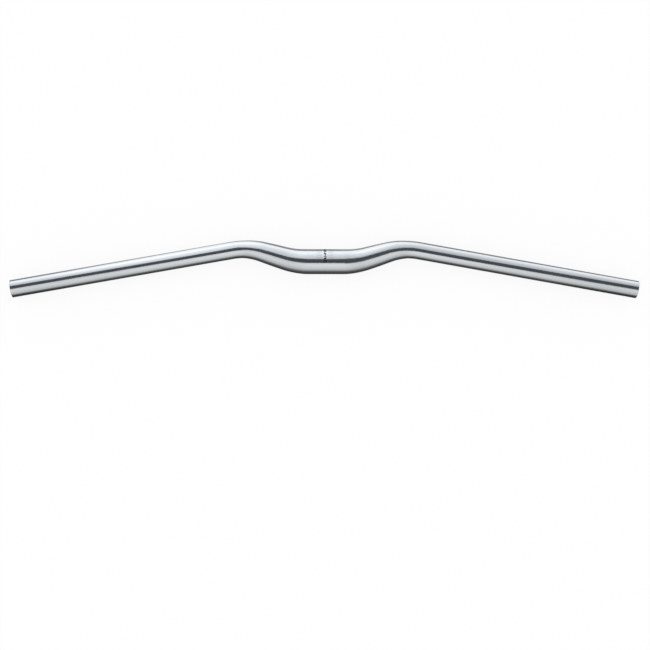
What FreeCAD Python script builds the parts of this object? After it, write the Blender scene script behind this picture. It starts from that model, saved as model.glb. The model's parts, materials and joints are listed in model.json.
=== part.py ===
import FreeCAD, Part
import math
import os

# Flat handlebar: one tapered, butted tube with two bends on each side, cut square at its ends.
# Lengths are in millimetres and angles in degrees. The origin is the middle of the clamp zone,
# +X points to the rider's right, +Y forward and +Z up. The axis of the tube lies in the plane Z = 0.

# Overall width, over the outermost corners of the two ends
width = 800.0

# Axis of one side, from the middle outwards
clamp_length = 46.0
first_bend_radius = 105.0
ramp_angle = 16.25
ramp_length = 28.0
second_bend_radius = 87.0
sweep_angle = 10.0

# Outside diameters: stem clamp, shoulder on the ramp, grip
clamp_diameter = 31.8
shoulder_diameter = 27.6
grip_diameter = 22.2

# The two steps of the taper, measured along the axis, and the length that rounds each change of slope
clamp_taper_length = 43.0
grip_taper_length = 38.0
taper_ease = 6.0

# Wall of the butted tube at the same three places
clamp_wall = 2.4
shoulder_wall = 2.0
grip_wall = 1.8

# Bevel on the inner and outer edge of each cut end
end_bevel = 0.4

# Distance along the axis between the sections of a bend
section_spacing = 4.0

# Distances along the axis where the route and the taper change
clamp_end = clamp_length / 2
first_bend_length = first_bend_radius * math.radians(ramp_angle)
second_bend_length = second_bend_radius * math.radians(ramp_angle + sweep_angle)
bends_end = clamp_end + first_bend_length + ramp_length + second_bend_length
taper_start = clamp_end + taper_ease / 2
shoulder_at = taper_start + clamp_taper_length
taper_end = shoulder_at + grip_taper_length
arm_start = max(bends_end, taper_end + taper_ease / 2)

# Each stretch of the axis has a length and a curvature. The last one, the straight arm, has no end here.
route = [
    (clamp_end, 0.0),
    (first_bend_length, 1 / first_bend_radius),
    (ramp_length, 0.0),
    (second_bend_length, -1 / second_bend_radius),
    (math.inf, 0.0),
]


def axis_at(distance):
    """Point and direction of the right-hand axis at a distance along it."""
    x, y, heading = 0.0, 0.0, 0.0
    for length, curvature in route:
        run = min(distance, length)
        turn = run * curvature
        chord = 2 / curvature * math.sin(turn / 2) if curvature else run
        x += chord * math.cos(heading + turn / 2)
        y += chord * math.sin(heading + turn / 2)
        heading += turn
        distance -= run
    return FreeCAD.Vector(x, y, 0), FreeCAD.Vector(math.cos(heading), math.sin(heading), 0)


def eased(run):
    """A slope of 1 from zero onwards, with its corner rounded over taper_ease."""
    half = taper_ease / 2
    if run <= -half:
        return 0.0
    if run >= half:
        return run
    return (run + half) ** 2 / (2 * taper_ease)


def radius_at(distance, clamp, shoulder, grip):
    """Radius of a tapered tube at a distance along the axis."""
    first_slope = (clamp - shoulder) / clamp_taper_length
    second_slope = (shoulder - grip) / grip_taper_length
    radius = clamp - first_slope * eased(distance - taper_start)
    radius -= (second_slope - first_slope) * eased(distance - shoulder_at)
    radius += second_slope * eased(distance - taper_end)
    return radius


def section_at(distance, radius):
    """Round section square to the axis, with its seam on the underside."""
    point, direction = axis_at(distance)
    down = FreeCAD.Vector(0, 0, -1)
    facing = FreeCAD.Rotation(down, direction.cross(down), direction, "ZXY")
    circle = Part.makeCircle(radius)
    circle.Placement = FreeCAD.Placement(point, facing)
    return Part.Wire(circle)


def bent_rod(clamp, shoulder, grip):
    """Solid rod along the whole axis, with its radius given at the clamp, shoulder and grip."""
    middle = Part.makeCylinder(clamp, clamp_length, FreeCAD.Vector(-clamp_end, 0, 0), FreeCAD.Vector(1, 0, 0))

    steps = math.ceil((arm_start - clamp_end) / section_spacing)
    spacing = (arm_start - clamp_end) / steps
    distances = [clamp_end + step * spacing for step in range(steps + 1)]
    bends = Part.makeLoft([section_at(d, radius_at(d, clamp, shoulder, grip)) for d in distances], True)

    point, direction = axis_at(arm_start)
    arm = Part.makeCylinder(grip, (end_point - point).Length, point, direction)

    side = bends.fuse(arm)
    return middle.fuse([side, side.mirror(FreeCAD.Vector(0, 0, 0), FreeCAD.Vector(1, 0, 0))])


def bevel_ends(tube):
    """Bevel the four circular edges of the two cut ends."""
    edges = []
    for edge in tube.Edges:
        if not isinstance(edge.Curve, Part.Circle):
            continue
        centre = FreeCAD.Vector(abs(edge.Curve.Center.x), edge.Curve.Center.y, edge.Curve.Center.z)
        if centre.isEqual(end_point, 0.001):
            edges.append(edge)
    return tube.makeChamfer(end_bevel, edges)


clamp_radius = clamp_diameter / 2
shoulder_radius = shoulder_diameter / 2
grip_radius = grip_diameter / 2

# Middle of the right-hand end: the arm runs on until its bevelled front corner reaches half the width
arm_point, arm_direction = axis_at(arm_start)
end_x = width / 2 + (grip_radius - end_bevel) * arm_direction.y
end_point = arm_point + arm_direction * ((end_x - arm_point.x) / arm_direction.x)

outside = bent_rod(clamp_radius, shoulder_radius, grip_radius)
inside = bent_rod(clamp_radius - clamp_wall, shoulder_radius - shoulder_wall, grip_radius - grip_wall)
handlebar_tube = bevel_ends(outside.cut(inside))

os.makedirs("parts", exist_ok=True)
handlebar_tube.exportStep("parts/handlebar_tube.step")

box = handlebar_tube.optimalBoundingBox()
print("handlebar_tube", round(handlebar_tube.Volume, 1), "mm3,", len(handlebar_tube.Faces), "faces")
print("size", round(box.XLength, 2), round(box.YLength, 2), round(box.ZLength, 2))
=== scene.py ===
import json
import math

import bpy
from mathutils import Euler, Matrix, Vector


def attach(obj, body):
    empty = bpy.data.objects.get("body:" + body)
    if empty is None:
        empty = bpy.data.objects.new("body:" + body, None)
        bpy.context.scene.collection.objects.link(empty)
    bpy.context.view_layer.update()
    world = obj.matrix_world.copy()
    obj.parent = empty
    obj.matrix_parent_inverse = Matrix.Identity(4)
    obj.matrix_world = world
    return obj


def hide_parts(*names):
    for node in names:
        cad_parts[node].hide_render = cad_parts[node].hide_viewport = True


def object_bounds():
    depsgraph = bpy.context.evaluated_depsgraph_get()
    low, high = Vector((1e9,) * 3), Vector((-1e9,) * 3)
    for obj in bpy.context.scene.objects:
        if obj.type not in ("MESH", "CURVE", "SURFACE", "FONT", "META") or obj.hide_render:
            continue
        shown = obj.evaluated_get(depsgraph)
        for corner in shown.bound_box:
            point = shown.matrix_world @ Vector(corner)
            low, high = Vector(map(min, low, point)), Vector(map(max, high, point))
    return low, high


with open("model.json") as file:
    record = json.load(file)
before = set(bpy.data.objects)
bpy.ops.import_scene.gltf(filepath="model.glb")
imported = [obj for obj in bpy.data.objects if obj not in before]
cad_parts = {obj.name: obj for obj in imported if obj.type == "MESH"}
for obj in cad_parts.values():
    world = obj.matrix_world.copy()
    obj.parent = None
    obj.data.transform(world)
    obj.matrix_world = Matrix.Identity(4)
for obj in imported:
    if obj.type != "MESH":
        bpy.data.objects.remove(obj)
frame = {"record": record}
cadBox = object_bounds()
mounts = {mount["name"]: mount for mount in frame["record"]["mounts"]}
print("frame loaded, CAD box", [round(side * 1000, 1) for side in cadBox[1] - cadBox[0]], "mm")

joinDistance = 0.00001  # points closer than this are the same


def selectOnly(piece):
    bpy.ops.object.select_all(action="DESELECT")
    piece.select_set(True)
    bpy.context.view_layer.objects.active = piece


def startEdit(piece):
    selectOnly(piece)
    bpy.ops.object.mode_set(mode="EDIT")
    bpy.ops.mesh.select_all(action="SELECT")


def endEdit():
    bpy.ops.object.mode_set(mode="OBJECT")


def applyModifier(piece, kind, **settings):
    selectOnly(piece)
    bpy.ops.object.modifier_add(type=kind)
    modifier = piece.modifiers[-1]
    for name, value in settings.items():
        setattr(modifier, name, value)
    bpy.ops.object.modifier_apply(modifier=modifier.name)


def addNode(tree, kind, inputs, **settings):
    # an input is linked where its value is another node's output
    node = tree.nodes.new("ShaderNode" + kind)
    for name, value in settings.items():
        setattr(node, name, value)
    for name, value in inputs.items():
        if isinstance(value, bpy.types.NodeSocket):
            tree.links.new(value, node.inputs[name])
        else:
            node.inputs[name].default_value = value
    return node.outputs[0] if node.outputs else None


def attributeOutput(tree, attributeName, output):
    node = tree.nodes.new("ShaderNodeAttribute")
    node.attribute_name = attributeName
    return node.outputs[output]


def colorRamp(tree, factor, stops):
    # stops are given as (place, color)
    ramp = addNode(tree, "ValToRGB", {"Fac": factor})
    elements = ramp.node.color_ramp.elements
    while len(elements) < len(stops):
        elements.new(1.0)
    for element, (place, color) in zip(elements, stops):
        element.position, element.color = place, color
    return ramp


def newSurface(name, values):
    material = bpy.data.materials.new(name)
    material.use_nodes = True
    tree = material.node_tree
    shader = tree.nodes["Principled BSDF"]
    for socket, value in values.items():
        shader.inputs[socket].default_value = value
    return material, tree, shader


def addNoise(tree, place, scale, detail):
    return addNode(tree, "TexNoise", {"Vector": place, "Scale": scale, "Detail": detail})


def linesAlongTube(tree, place, settings):
    # noise drawn out in the direction of the axis
    across = 1 / settings["lineWidth"]
    scale = (1 / settings["lineLength"], across, across)
    stretched = addNode(tree, "Mapping", {"Vector": place, "Scale": scale})
    return addNoise(tree, stretched, 1.0, settings["lineDetail"])


def roughnessOver(tree, value, span, settings):
    # from smoothest to roughest over a span of the value
    return addNode(tree, "MapRange", {
        "Value": value, "From Min": span[0], "From Max": span[1],
        "To Min": settings["smoothest"], "To Max": settings["roughest"],
    })


# Polished aluminium: fine lines along the tube, left by the polishing belt, and a faint cloudiness
polish = {
    "greyColor": (0.850, 0.862, 0.874, 1),
    "paleColor": (0.880, 0.890, 0.900, 1),
    "cloudSize": 0.035,
    "cloudDetail": 3.0,
    "cloudSpan": (0.35, 0.65),    # of the clouds' noise, from grey to pale
    "lineLength": 0.030,
    "lineWidth": 0.00022,
    "lineDetail": 2.0,
    "lineDepth": 0.0000012,
    "smoothest": 0.10,
    "roughest": 0.17,
    "roughSpan": (0.6, 1.4),      # of both noises together, from smoothest to roughest
}


def polishedAluminium():
    material, tree, shader = newSurface("polishedAluminium", {"Metallic": 1.0})
    place = attributeOutput(tree, "tubePlace", "Vector")
    lines = linesAlongTube(tree, place, polish)
    clouds = addNoise(tree, place, 1 / polish["cloudSize"], polish["cloudDetail"])
    greyAt, paleAt = polish["cloudSpan"]
    color = colorRamp(tree, clouds, [(greyAt, polish["greyColor"]), (paleAt, polish["paleColor"])])
    both = addNode(tree, "Math", {0: lines, 1: clouds}, operation="ADD")
    roughness = roughnessOver(tree, both, polish["roughSpan"], polish)
    bump = addNode(tree, "Bump", {"Height": lines, "Strength": 1.0, "Distance": polish["lineDepth"]})
    tree.links.new(color, shader.inputs["Base Color"])
    tree.links.new(roughness, shader.inputs["Roughness"])
    tree.links.new(bump, shader.inputs["Normal"])
    return material


# Cut ends: rings left by the facing tool
turned = {
    "color": (0.80, 0.81, 0.82, 1),
    "ringPitch": 0.00022,
    "ringDepth": 0.000006,
    "smoothest": 0.20,
    "roughest": 0.36,
}


def turnedEnd():
    material, tree, shader = newSurface("turnedEnd", {"Metallic": 1.0, "Base Color": turned["color"]})
    place = attributeOutput(tree, "tubePlace", "Vector")
    across = addNode(tree, "VectorMath", {0: place, 1: (0, 1, 1)}, operation="MULTIPLY")
    fromAxis = addNode(tree, "VectorMath", {0: across}, operation="LENGTH").node.outputs["Value"]
    turns = addNode(tree, "Math", {0: fromAxis, 1: math.tau / turned["ringPitch"]}, operation="MULTIPLY")
    rings = addNode(tree, "Math", {0: turns}, operation="SINE")
    roughness = roughnessOver(tree, rings, (-1.0, 1.0), turned)
    bump = addNode(tree, "Bump", {"Height": rings, "Strength": 1.0, "Distance": turned["ringDepth"]})
    tree.links.new(roughness, shader.inputs["Roughness"])
    tree.links.new(bump, shader.inputs["Normal"])
    return material


# Bore: dull, with the long lines of the drawn tube
drawn = {
    "greyColor": (0.46, 0.47, 0.48, 1),
    "paleColor": (0.62, 0.63, 0.64, 1),
    "lineLength": 0.060,
    "lineWidth": 0.0006,
    "lineDetail": 3.0,
    "lineDepth": 0.00002,
    "lineSpan": (0.3, 0.7),       # of the lines' noise, from grey and smoothest to pale and roughest
    "smoothest": 0.34,
    "roughest": 0.52,
}


def drawnBore():
    material, tree, shader = newSurface("drawnBore", {"Metallic": 1.0})
    place = attributeOutput(tree, "tubePlace", "Vector")
    lines = linesAlongTube(tree, place, drawn)
    greyAt, paleAt = drawn["lineSpan"]
    color = colorRamp(tree, lines, [(greyAt, drawn["greyColor"]), (paleAt, drawn["paleColor"])])
    roughness = roughnessOver(tree, lines, drawn["lineSpan"], drawn)
    bump = addNode(tree, "Bump", {"Height": lines, "Strength": 1.0, "Distance": drawn["lineDepth"]})
    tree.links.new(color, shader.inputs["Base Color"])
    tree.links.new(roughness, shader.inputs["Roughness"])
    tree.links.new(bump, shader.inputs["Normal"])
    return material


# Handlebar tube: turned from its wall's profile as a straight tube, then bent along its axis
tubeSizes = {
    "facesAround": 128,
    "shoulderRadius": 0.0138,
    "clampWall": 0.0024,
    "shoulderWall": 0.0020,
    "clampTaper": 0.043,          # along the axis, from the clamp zone to the shoulder
    "gripTaper": 0.038,           # from the shoulder to the grip
    "taperEase": 0.006,           # rounds each change of slope
    "firstBendRadius": 0.105,
    "rampAngle": math.radians(16.25),
    "rampLength": 0.028,
    "secondBendRadius": 0.087,
    "endBevel": 0.0004,
    "bevelSteps": 3,
    "bendSpacing": 0.002,         # between rings in the bends
    "straightSpacing": 0.008,     # and elsewhere
    "axisSteps": 64,              # of the axis curve, between two of its points
    "smoothAngle": math.radians(35),  # edges sharper than this stay sharp
}
clampRadius = mounts["stem_clamp"]["dims"]["r_mm"] / 1000
clampEnd = mounts["stem_clamp"]["dims"]["length_mm"] / 1000 / 2
gripRadius = mounts["right_grip"]["dims"]["r_mm"] / 1000
boreRadius = mounts["right_end_bore"]["dims"]["r_mm"] / 1000
gripAxis = mounts["right_grip"]["axis"]
sweepAngle = math.atan2(-gripAxis[1], gripAxis[0])


def routeStretches(armLength):
    # length and turn of each stretch of the axis, from the middle to the right-hand end
    secondTurn = tubeSizes["rampAngle"] + sweepAngle
    return [
        (clampEnd, 0.0),
        (tubeSizes["firstBendRadius"] * tubeSizes["rampAngle"], tubeSizes["rampAngle"]),
        (tubeSizes["rampLength"], 0.0),
        (tubeSizes["secondBendRadius"] * secondTurn, -secondTurn),
        (armLength, 0.0),
    ]


def routePoints(stretches):
    # where each stretch ends, its heading there, and the length of its Bezier handles
    place, heading, points = Vector((0, 0, 0)), 0.0, []
    for length, turn in stretches:
        chord = length * math.sin(turn / 2) / (turn / 2) if turn else length
        middle = heading + turn / 2
        place = place + chord * Vector((math.cos(middle), math.sin(middle), 0))
        heading += turn
        handle = 4 / 3 * math.tan(turn / 4) * length / turn if turn else length / 3
        points.append((place, heading, handle))
    return points


armStart = routePoints(routeStretches(0.0))[-1][0]
endX = cadBox[1].x - (gripRadius - tubeSizes["endBevel"]) * math.sin(sweepAngle)
armLength = (endX - armStart.x) / math.cos(sweepAngle)
halfLength = sum(length for length, turn in routeStretches(armLength))
bendsEnd = halfLength - armLength


def eased(run):
    # a slope of 1 from zero onwards, with a rounded corner
    half = tubeSizes["taperEase"] / 2
    if run <= -half:
        return 0.0
    return run if run >= half else (run + half) ** 2 / (4 * half)


def wallRadius(distance, clamp, shoulder, grip):
    taperStart = clampEnd + tubeSizes["taperEase"] / 2
    shoulderAt = taperStart + tubeSizes["clampTaper"]
    firstSlope = (clamp - shoulder) / tubeSizes["clampTaper"]
    secondSlope = (shoulder - grip) / tubeSizes["gripTaper"]
    radius = clamp - firstSlope * eased(distance - taperStart)
    radius -= (secondSlope - firstSlope) * eased(distance - shoulderAt)
    return radius + secondSlope * eased(distance - shoulderAt - tubeSizes["gripTaper"])


def outerRadius(distance):
    return wallRadius(distance, clampRadius, tubeSizes["shoulderRadius"], gripRadius)


def innerRadius(distance):
    shoulder = tubeSizes["shoulderRadius"] - tubeSizes["shoulderWall"]
    return wallRadius(distance, clampRadius - tubeSizes["clampWall"], shoulder, boreRadius)


def evenSteps(start, end, spacing):
    # without the end itself
    count = math.ceil((end - start) / spacing)
    return [start + (end - start) * step / count for step in range(count)]


def ringPlaces():
    # distances from the middle at which the straight tube has a ring, less than zero on the left
    ease = tubeSizes["taperEase"]
    side = evenSteps(0.0, clampEnd - ease, tubeSizes["straightSpacing"])
    side += evenSteps(clampEnd - ease, bendsEnd + ease, tubeSizes["bendSpacing"])
    side += evenSteps(bendsEnd + ease, halfLength, tubeSizes["straightSpacing"]) + [halfLength]
    return [-place for place in reversed(side[1:])] + side


def drawLine(points, closed=True):
    # a plane merged to one point, which is then extruded along the line
    bpy.ops.mesh.primitive_plane_add(location=(0, 0, 0))
    line = bpy.context.object
    startEdit(line)
    bpy.ops.mesh.select_mode(type="VERT")
    bpy.ops.mesh.merge(type="CENTER")
    bpy.ops.transform.translate(value=points[0])
    path = points + points[:1] if closed else points
    for before, after in zip(path, path[1:]):
        bpy.ops.mesh.extrude_vertices_move(TRANSFORM_OT_translate={"value": after - before})
    bpy.ops.mesh.select_all(action="SELECT")
    bpy.ops.mesh.remove_doubles(threshold=joinDistance)
    endEdit()
    return line


def selectEndCorners(profile):
    for vertex in profile.data.vertices:
        vertex.select = min(vertex.co.x, 2 * halfLength - vertex.co.x) < joinDistance
    for edge in profile.data.edges:
        edge.select = False


def straightTube():
    places = ringPlaces()
    outside = [Vector((halfLength + place, 0, outerRadius(abs(place)))) for place in places]
    inside = [Vector((halfLength + place, 0, innerRadius(abs(place)))) for place in reversed(places)]
    tube = drawLine(outside + inside)
    tube.name = tube.data.name = "handlebarTube"
    selectEndCorners(tube)
    bpy.ops.object.mode_set(mode="EDIT")
    bpy.ops.mesh.bevel(offset=tubeSizes["endBevel"], segments=tubeSizes["bevelSteps"], affect="VERTICES")
    bpy.ops.mesh.select_all(action="SELECT")
    bpy.ops.mesh.spin(
        steps=tubeSizes["facesAround"], angle=math.tau, center=(0, 0, 0), axis=(1, 0, 0), use_auto_merge=True)
    bpy.ops.mesh.select_all(action="SELECT")
    bpy.ops.mesh.remove_doubles(threshold=joinDistance)
    bpy.ops.mesh.normals_make_consistent(inside=False)
    endEdit()
    return tube


def keepStraightPlaces(tube):
    # the finishes follow the tube through its bends by the place each point had before
    places = tube.data.attributes.new("tubePlace", "FLOAT_VECTOR", "POINT")
    for vertex, place in zip(tube.data.vertices, places.data):
        place.vector = vertex.co - Vector((halfLength, 0, 0))


def assignFinishes(tube):
    for material in (polishedAluminium(), turnedEnd(), drawnBore()):
        tube.data.materials.append(material)
    endSlot, boreSlot = 1, 2  # in the order above
    for face in tube.data.polygons:
        distance = abs(face.center.x - halfLength)
        radius = math.hypot(face.center.y, face.center.z)
        if radius < (outerRadius(distance) + innerRadius(distance)) / 2:
            face.material_index = boreSlot
        if distance > halfLength - tubeSizes["endBevel"]:
            face.material_index = endSlot


def shapeAxisPoint(point, place, ahead, before, after):
    point.handle_left_type = point.handle_right_type = "FREE"
    point.co = place
    point.handle_left = place - before * ahead
    point.handle_right = place + after * ahead


def axisCurve(armLength):
    right = routePoints(routeStretches(armLength))
    handles = [handle for place, heading, handle in right]
    bpy.ops.curve.primitive_bezier_curve_add(location=(0, 0, 0))
    curve = bpy.context.object
    curve.name = "tubeAxis"
    curve.data.resolution_u = tubeSizes["axisSteps"]
    curve.data.twist_mode = "Z_UP"
    spline = curve.data.splines[0]
    spline.bezier_points.add(2 * len(right) - len(spline.bezier_points))
    for index, (place, heading, inward) in enumerate(right):
        outward = handles[index + 1] if index + 1 < len(right) else inward
        if index == 0:
            inward = 2 * clampEnd / 3  # the clamp zone is one straight from side to side
        ahead = Vector((math.cos(heading), math.sin(heading), 0))
        shapeAxisPoint(spline.bezier_points[len(right) + index], place, ahead, inward, outward)
        mirrored = Vector((-place.x, place.y, 0))
        aheadMirrored = Vector((ahead.x, -ahead.y, 0))
        shapeAxisPoint(spline.bezier_points[len(right) - 1 - index], mirrored, aheadMirrored, outward, inward)
    return curve


tube = straightTube()
keepStraightPlaces(tube)
assignFinishes(tube)
axis = axisCurve(armLength)
applyModifier(tube, "CURVE", object=axis, deform_axis="POS_X")
bpy.data.objects.remove(axis)
selectOnly(tube)
bpy.ops.object.shade_smooth_by_angle(angle=tubeSizes["smoothAngle"])
applyModifier(tube, "WEIGHTED_NORMAL", keep_sharp=True)
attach(tube, "root")
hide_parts("handlebar_tube")
print("tube bent,", len(tube.data.polygons), "faces, half axis", round(halfLength * 1000, 2), "mm")


# Setting scale on the clamp zone: ticks beside a column of plain numbers, from the top over the front
scaleMarks = {
    "middle": -0.0009,            # printed a little left of the bar's middle
    "zeroAngle": math.radians(-3.5),  # from the top, towards the front
    "tickStep": math.radians(9.65),
    "tickCount": 9,
    "tickWidth": 0.00020,
    "tickStart": 0.0039,          # from the middle
    "zeroTickEnd": 0.0189,
    "longTickEnd": 0.0118,
    "shortTickEnd": 0.0096,
    "numberHeight": 0.0049,
    "numberWidth": 0.0034,        # the same for each number
    "numberStroke": 0.0011,
    "numberShift": math.radians(2.5),  # each number stands a little ahead of its tick
    "cornerSteps": 8,
    "cutSpacing": 0.0005,         # lets a flat number follow the round tube
    "thickness": 0.00003,
    "layerStep": 0.000006,        # between strokes of a number, where they cross
}
# Strokes of each number: rounding of the corners, points in halves of the width and height, closed or not
numberStrokes = {
    0: [(0.0011, [(-1, -1), (1, -1), (1, 1), (-1, 1)], True)],
    2: [
        (0.0009, [(-1, 0.4), (-1, 1), (1, 1), (1, 0), (-1, -1)], False),
        (0, [(-1.35, -1), (1.4, -1)], False),
    ],
    4: [
        (0, [(-0.3, 1.28), (-1, -0.25), (1.4, -0.25)], False),
        (0, [(0.62, 0.5), (0.62, -1.28)], False),
    ],
    6: [(0.0009, [(0.9, 1), (-1, 1), (-1, -1), (1, -1), (1, 0.1), (-0.54, 0.1)], False)],
    8: [
        (0.0009, [(-1, -1), (1, -1), (1, 0), (-1, 0)], True),
        (0.0009, [(-0.85, 0), (-0.85, 1), (0.85, 1), (0.85, 0)], False),
    ],
}
ink = {
    "color": (0.003, 0.003, 0.004, 1),
    "wornColor": (0.012, 0.012, 0.014, 1),
    "speckSize": 0.0003,
    "speckDetail": 2.0,
    "speckSpan": (0.45, 0.75),    # of the specks' noise, from whole to worn
    "shine": 0.10,
    "smoothest": 0.38,
    "roughest": 0.62,
}


def markInk():
    material, tree, shader = newSurface("markInk", {"Specular IOR Level": ink["shine"]})
    place = addNode(tree, "TexCoord", {}).node.outputs["Object"]
    specks = addNoise(tree, place, 1 / ink["speckSize"], ink["speckDetail"])
    wholeAt, wornAt = ink["speckSpan"]
    color = colorRamp(tree, specks, [(wholeAt, ink["color"]), (wornAt, ink["wornColor"])])
    roughness = roughnessOver(tree, specks, (0.0, 1.0), ink)
    tree.links.new(color, shader.inputs["Base Color"])
    tree.links.new(roughness, shader.inputs["Roughness"])
    return material


def layOnTube(mark, index, shift=0.0):
    # from flat in the XY plane to its place on the clamp zone, at the tick of this index
    angle = scaleMarks["zeroAngle"] + index * scaleMarks["tickStep"] + shift
    mark.rotation_euler = (-angle, 0, 0)
    mark.location = (scaleMarks["middle"], clampRadius * math.sin(angle), clampRadius * math.cos(angle))
    selectOnly(mark)
    bpy.ops.object.transform_apply(location=True, rotation=True, scale=True)


def addTick(index, side):
    start = scaleMarks["tickStart"]
    end = scaleMarks["longTickEnd"] if index % 2 == 0 else scaleMarks["shortTickEnd"]
    if index == 0:
        end = scaleMarks["zeroTickEnd"]
    bpy.ops.mesh.primitive_plane_add(size=1.0, location=(0, 0, 0))
    tick = bpy.context.object
    startEdit(tick)
    bpy.ops.transform.resize(value=(end - start, scaleMarks["tickWidth"], 1))
    bpy.ops.transform.translate(value=(side * (start + end) / 2, 0, 0))
    endEdit()
    layOnTube(tick, index)
    return tick


def strokeWall(rounding, points, closed):
    # a wall along the stroke's middle line, thickened to both sides
    halfWidth = (scaleMarks["numberWidth"] - scaleMarks["numberStroke"]) / 2
    halfHeight = (scaleMarks["numberHeight"] - scaleMarks["numberStroke"]) / 2
    wall = drawLine([Vector((x * halfWidth, y * halfHeight, 0)) for x, y in points], closed)
    startEdit(wall)
    if rounding:
        bpy.ops.mesh.bevel(offset=rounding, segments=scaleMarks["cornerSteps"], affect="VERTICES")
        bpy.ops.mesh.select_all(action="SELECT")
    bpy.ops.mesh.extrude_edges_move(TRANSFORM_OT_translate={"value": (0, 0, scaleMarks["numberStroke"])})
    bpy.ops.mesh.select_all(action="SELECT")
    bpy.ops.mesh.normals_make_consistent(inside=False)
    endEdit()
    applyModifier(wall, "SOLIDIFY", thickness=scaleMarks["numberStroke"], offset=0.0, use_even_offset=True)
    return wall


def keepUpperSide(wall):
    # flat, with cuts across it
    bpy.ops.object.mode_set(mode="EDIT")
    bpy.ops.mesh.select_mode(type="FACE")
    endEdit()
    for face in wall.data.polygons:
        face.select = face.normal.z < 0.5
    bpy.ops.object.mode_set(mode="EDIT")
    bpy.ops.mesh.delete(type="FACE")
    half = scaleMarks["numberHeight"] / 2
    for cut in evenSteps(-half, half, scaleMarks["cutSpacing"])[1:]:
        bpy.ops.mesh.select_all(action="SELECT")
        bpy.ops.mesh.bisect(plane_co=(0, cut, 0), plane_no=(0, 1, 0))
    endEdit()


def addStroke(index, layer, rounding, points, closed):
    stroke = strokeWall(rounding, points, closed)
    keepUpperSide(stroke)
    layOnTube(stroke, index, scaleMarks["numberShift"])
    applyModifier(stroke, "SHRINKWRAP", target=tube, offset=layer * scaleMarks["layerStep"])
    return stroke


def settingScale():
    marks = [addTick(index, side) for index in range(scaleMarks["tickCount"]) for side in (-1, 1)]
    for index, strokes in numberStrokes.items():
        marks += [addStroke(index, layer, *stroke) for layer, stroke in enumerate(strokes)]
    selectOnly(marks[0])
    for mark in marks:
        mark.select_set(True)
    bpy.ops.object.join()
    scale = bpy.context.object
    scale.name = scale.data.name = "settingScale"
    applyModifier(scale, "SOLIDIFY", thickness=scaleMarks["thickness"], offset=0.0)
    scale.data.materials.clear()
    scale.data.materials.append(markInk())
    return scale


scale = settingScale()
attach(scale, "root")
print("setting scale laid on,", len(scale.data.polygons), "faces")


# Studio: pale floor under the bar, soft boards in front, behind and past each end, and a dark gap overhead
studio = {
    "floorSize": 12.0,
    "floorColor": (0.97, 0.97, 0.97, 1),
    "floorGlow": 0.86,            # share of plain white in the floor, as the camera and the metal see it
}
# Boards stand from foot to top, given as (y, z). The upper edge is given as (x, share of the height).
# Levels go up the board, as (share of the height, level), and side levels across it, as (x, level).
# A board is turned about the middle of the bar, once it has its shape.
endBoard = {
    "foot": (2.6, -0.015), "top": (2.6, 2.9), "tint": (0.97, 1.0, 1.03),
    "upperEdge": [(-2.6, 1.0), (2.6, 1.0)],
    "levels": [(0.0, 0.80), (0.2, 0.62), (0.6, 0.48), (1.0, 0.36)],
}
boards = {
    "frontBoard": {
        "foot": (1.2, -0.015), "top": (1.2, 3.05), "turn": 0.0, "tint": (0.95, 1.0, 1.05),
        "upperEdge": [
            (-1.7, 0.02), (-1.1, 0.61), (-0.9, 0.71), (-0.5, 1.07), (-0.4, 1.07), (-0.3, 0.74), (-0.18, 0.76),
            (-0.12, 0.95), (0.1, 1.05), (0.28, 0.73), (0.4, 0.75), (0.5, 1.05), (0.74, 0.98), (1.74, 0.02),
        ],
        "levels": [(0.0, 1.12), (0.07, 1.07), (0.15, 0.94), (0.25, 0.83), (0.5, 0.68), (1.0, 0.53)],
        "sideLevels": [
            (-1.5, 0.80), (-1.0, 0.85), (-0.6, 1.16), (-0.11, 1.08), (0.16, 0.90), (0.3, 0.90), (0.65, 0.82),
            (0.85, 0.82), (1.0, 0.72), (1.74, 0.66),
        ],
    },
    "rearBoard": {
        "foot": (-1.6, -0.015), "top": (-0.63, 2.2), "turn": 0.0, "tint": (0.97, 1.0, 1.015),
        "upperEdge": [
            (-2.0, 1.2), (-0.6, 1.2), (-0.45, 1.1), (-0.3, 1.08), (-0.2, 1.0), (0.08, 1.03), (0.2, 0.92),
            (0.33, 0.91), (0.5, 1.0), (0.72, 1.0), (0.88, 1.22), (2.0, 1.22),
        ],
        "levels": [(0.0, 0.37), (0.1, 0.50), (0.2, 0.60), (0.4, 0.73), (0.65, 0.80), (1.0, 0.70)],
        "sideLevels": [
            (-2.0, 0.90), (-0.65, 0.95), (-0.45, 0.88), (-0.15, 0.97), (0.05, 1.0), (0.24, 0.945),
            (0.53, 0.83), (0.66, 0.94), (2.0, 0.90),
        ],
    },
    "leftBoard": {**endBoard, "turn": math.radians(90)},
    "rightBoard": {**endBoard, "turn": math.radians(-90)},
}
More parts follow.
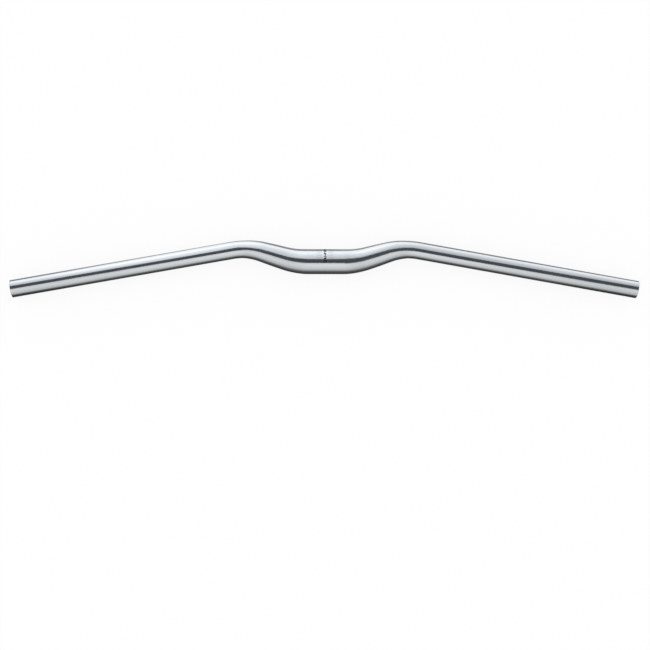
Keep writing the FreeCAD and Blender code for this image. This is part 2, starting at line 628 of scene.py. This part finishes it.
# A dark card overhead, and strips on the floor along the bar that draw its edges in the metal.
# Their levels go from the bar outwards, and the reach is given as (x, y).
cards = {
    "gapCard": {
        "edges": (-1.6, 3.0), "length": 6.0, "height": 3.2,
        "tint": (0.88, 1.0, 1.17), "levels": [(0.0, 0.066)],
    },
    "rearCard": {
        "reach": [(0.0, -1.57)], "tint": (0.94, 1.0, 0.99),
        "levels": [(0.02, 0.050), (0.04, 0.076), (0.09, 0.18), (0.19, 0.265), (1.0, 0.35)],
        "sideLevels": [(-0.37, 0.58), (-0.28, 1.0), (0.28, 1.0), (0.37, 0.62)],
    },
    "frontCard": {
        "reach": [
            (-0.36, 0.070), (-0.3, 0.052), (-0.14, 0.037), (-0.1, 0.046), (-0.06, 0.075), (0.02, 0.070),
            (0.07, 0.047), (0.1, 0.050), (0.13, 0.070), (0.25, 0.069), (0.36, 0.056),
        ],
        "tint": (0.95, 1.0, 1.04), "levels": [(0.0, 0.34)],
        "sideLevels": [
            (-0.4, 0.74), (-0.2, 1.35), (-0.1, 1.3), (-0.06, 0.76), (0.03, 1.08), (0.15, 0.76), (0.4, 0.73),
        ],
    },
    "pastEnds": 0.2,              # how far the strips run on past the bar
    "lift": 0.0002,               # of the strips above the floor
}
floorHeight = cadBox[0].z


def shownToEye(tree):
    # 1 for camera, glossy and transmission rays, which show the background as it is
    path = tree.nodes.new("ShaderNodeLightPath")
    camera, glossy = path.outputs["Is Camera Ray"], path.outputs["Is Glossy Ray"]
    either = addNode(tree, "Math", {0: camera, 1: glossy}, operation="MAXIMUM")
    return addNode(tree, "Math", {0: either, 1: path.outputs["Is Transmission Ray"]}, operation="MAXIMUM")


def paleFloor():
    bpy.ops.mesh.primitive_plane_add(size=studio["floorSize"], location=(0, 0, floorHeight))
    floor = bpy.context.object
    floor.name = "floor"
    dull = {"Base Color": studio["floorColor"], "Roughness": 1.0, "Specular IOR Level": 0.0}
    material, tree, shader = newSurface("paleFloor", dull)
    share = addNode(tree, "Math", {0: shownToEye(tree), 1: studio["floorGlow"]}, operation="MULTIPLY")
    white = addNode(tree, "Emission", {})
    mixed = addNode(tree, "MixShader", {0: share, 1: shader.outputs[0], 2: white})
    tree.links.new(mixed, tree.nodes["Material Output"].inputs["Surface"])
    floor.data.materials.append(material)


def levelRamp(tree, factor, levels):
    return colorRamp(tree, factor, [(place, (level, level, level, 1)) for place, level in levels])


def sideRamp(tree, levels):
    # from metres across to the 0 to 1 of a ramp
    left, right = levels[0][0], levels[-1][0]
    place = addNode(tree, "TexCoord", {}).node.outputs["Object"]
    across = addNode(tree, "SeparateXYZ", {"Vector": place})
    share = addNode(tree, "MapRange", {"Value": across, "From Min": left, "From Max": right})
    return levelRamp(tree, share, [((x - left) / (right - left), level) for x, level in levels])


def glowMaterial(name, settings):
    material = bpy.data.materials.new(name)
    material.use_nodes = True
    tree = material.node_tree
    tree.nodes.clear()
    strength = settings["levels"][0][1]
    if len(settings["levels"]) > 1:
        strength = levelRamp(tree, attributeOutput(tree, "rise", "Fac"), settings["levels"])
    if "sideLevels" in settings:
        sides = sideRamp(tree, settings["sideLevels"])
        strength = addNode(tree, "Math", {0: strength, 1: sides}, operation="MULTIPLY")
    glow = addNode(tree, "Emission", {"Color": (*settings["tint"], 1), "Strength": strength})
    addNode(tree, "OutputMaterial", {"Surface": glow})
    return material


def storeRise(board, rise):
    values = board.data.attributes.new("rise", "FLOAT", "POINT")
    for vertex, value in zip(board.data.vertices, values.data):
        value.value = rise(vertex)


def finishBoard(board, name, settings):
    # seen only in the metal
    board.name = name
    board.data.materials.append(glowMaterial(name, settings))
    board.visible_camera = board.visible_diffuse = board.visible_shadow = False


def softBoard(name):
    settings = boards[name]
    foot, top = Vector((0, *settings["foot"])), Vector((0, *settings["top"]))
    count = len(settings["upperEdge"])
    bpy.ops.mesh.primitive_grid_add(x_subdivisions=count - 1, y_subdivisions=1, size=1.0)
    board = bpy.context.object
    for index, vertex in enumerate(board.data.vertices):  # a lower row, then an upper one
        across, rise = settings["upperEdge"][index % count]
        vertex.co = foot.lerp(top, rise if index >= count else 0.0) + Vector((across, 0, 0))
        vertex.co.rotate(Euler((0, 0, settings["turn"])))
    storeRise(board, lambda vertex: (vertex.co.z - foot.z) / (top.z - foot.z))
    finishBoard(board, name, settings)


def gapCard():
    settings = cards["gapCard"]
    low, high = settings["edges"]
    bpy.ops.mesh.primitive_plane_add(size=1.0, location=(0, (low + high) / 2, settings["height"]))
    card = bpy.context.object
    card.scale = (settings["length"], high - low, 1)
    finishBoard(card, "gapCard", settings)


def valueAt(points, x):
    # on the straight lines between points given as (x, value)
    for (left, low), (right, high) in zip(points, points[1:]):
        if x < right:
            return low + (high - low) * max(0.0, x - left) / (right - left)
    return points[-1][1]


def edgeCard(name):
    settings = cards[name]
    selectOnly(axisCurve(armLength + cards["pastEnds"]))
    bpy.ops.object.convert(target="MESH")
    card = bpy.context.object
    startEdit(card)
    bpy.ops.transform.translate(value=(0, 0, floorHeight + cards["lift"]))
    bpy.ops.mesh.extrude_edges_move(TRANSFORM_OT_translate={"value": (0, 0, 0)})
    endEdit()
    for vertex in card.data.vertices:
        if vertex.select:  # the extruded edge
            vertex.co.y += valueAt(settings["reach"], vertex.co.x)
    storeRise(card, lambda vertex: float(vertex.select))
    finishBoard(card, name, settings)


def studioWorld():
    world = bpy.data.worlds.new("studioWorld")
    bpy.context.scene.world = world
    world.use_nodes = True
    world.node_tree.nodes["Background"].inputs["Color"].default_value = (1, 1, 1, 1)


paleFloor()
for name in boards:
    softBoard(name)
gapCard()
edgeCard("rearCard")
edgeCard("frontCard")
studioWorld()
bpy.context.scene.view_settings.view_transform = "Standard"
print("studio set")


# Camera: looks down, with the front of the bar upwards in the picture
view = {
    "middle": (-0.0007, -0.0806),  # of the picture, at the height of the bar's axis
    "leftward": 0.0397,            # the camera stands this far left of it
    "height": 1.89,
    "pictureWidth": 0.827,
    "roll": math.radians(0.045),
}


def photoCamera():
    middleX, middleY = view["middle"]
    turn = math.atan2(view["leftward"], view["height"])
    bpy.ops.object.camera_add(
        location=(middleX - view["leftward"], middleY, view["height"]), rotation=(0, -turn, view["roll"]))
    camera = bpy.context.object
    camera.name = "photoCamera"
    distance = math.hypot(view["leftward"], view["height"])
    camera.data.lens = camera.data.sensor_width * distance / view["pictureWidth"]
    bpy.context.scene.camera = camera


photoCamera()
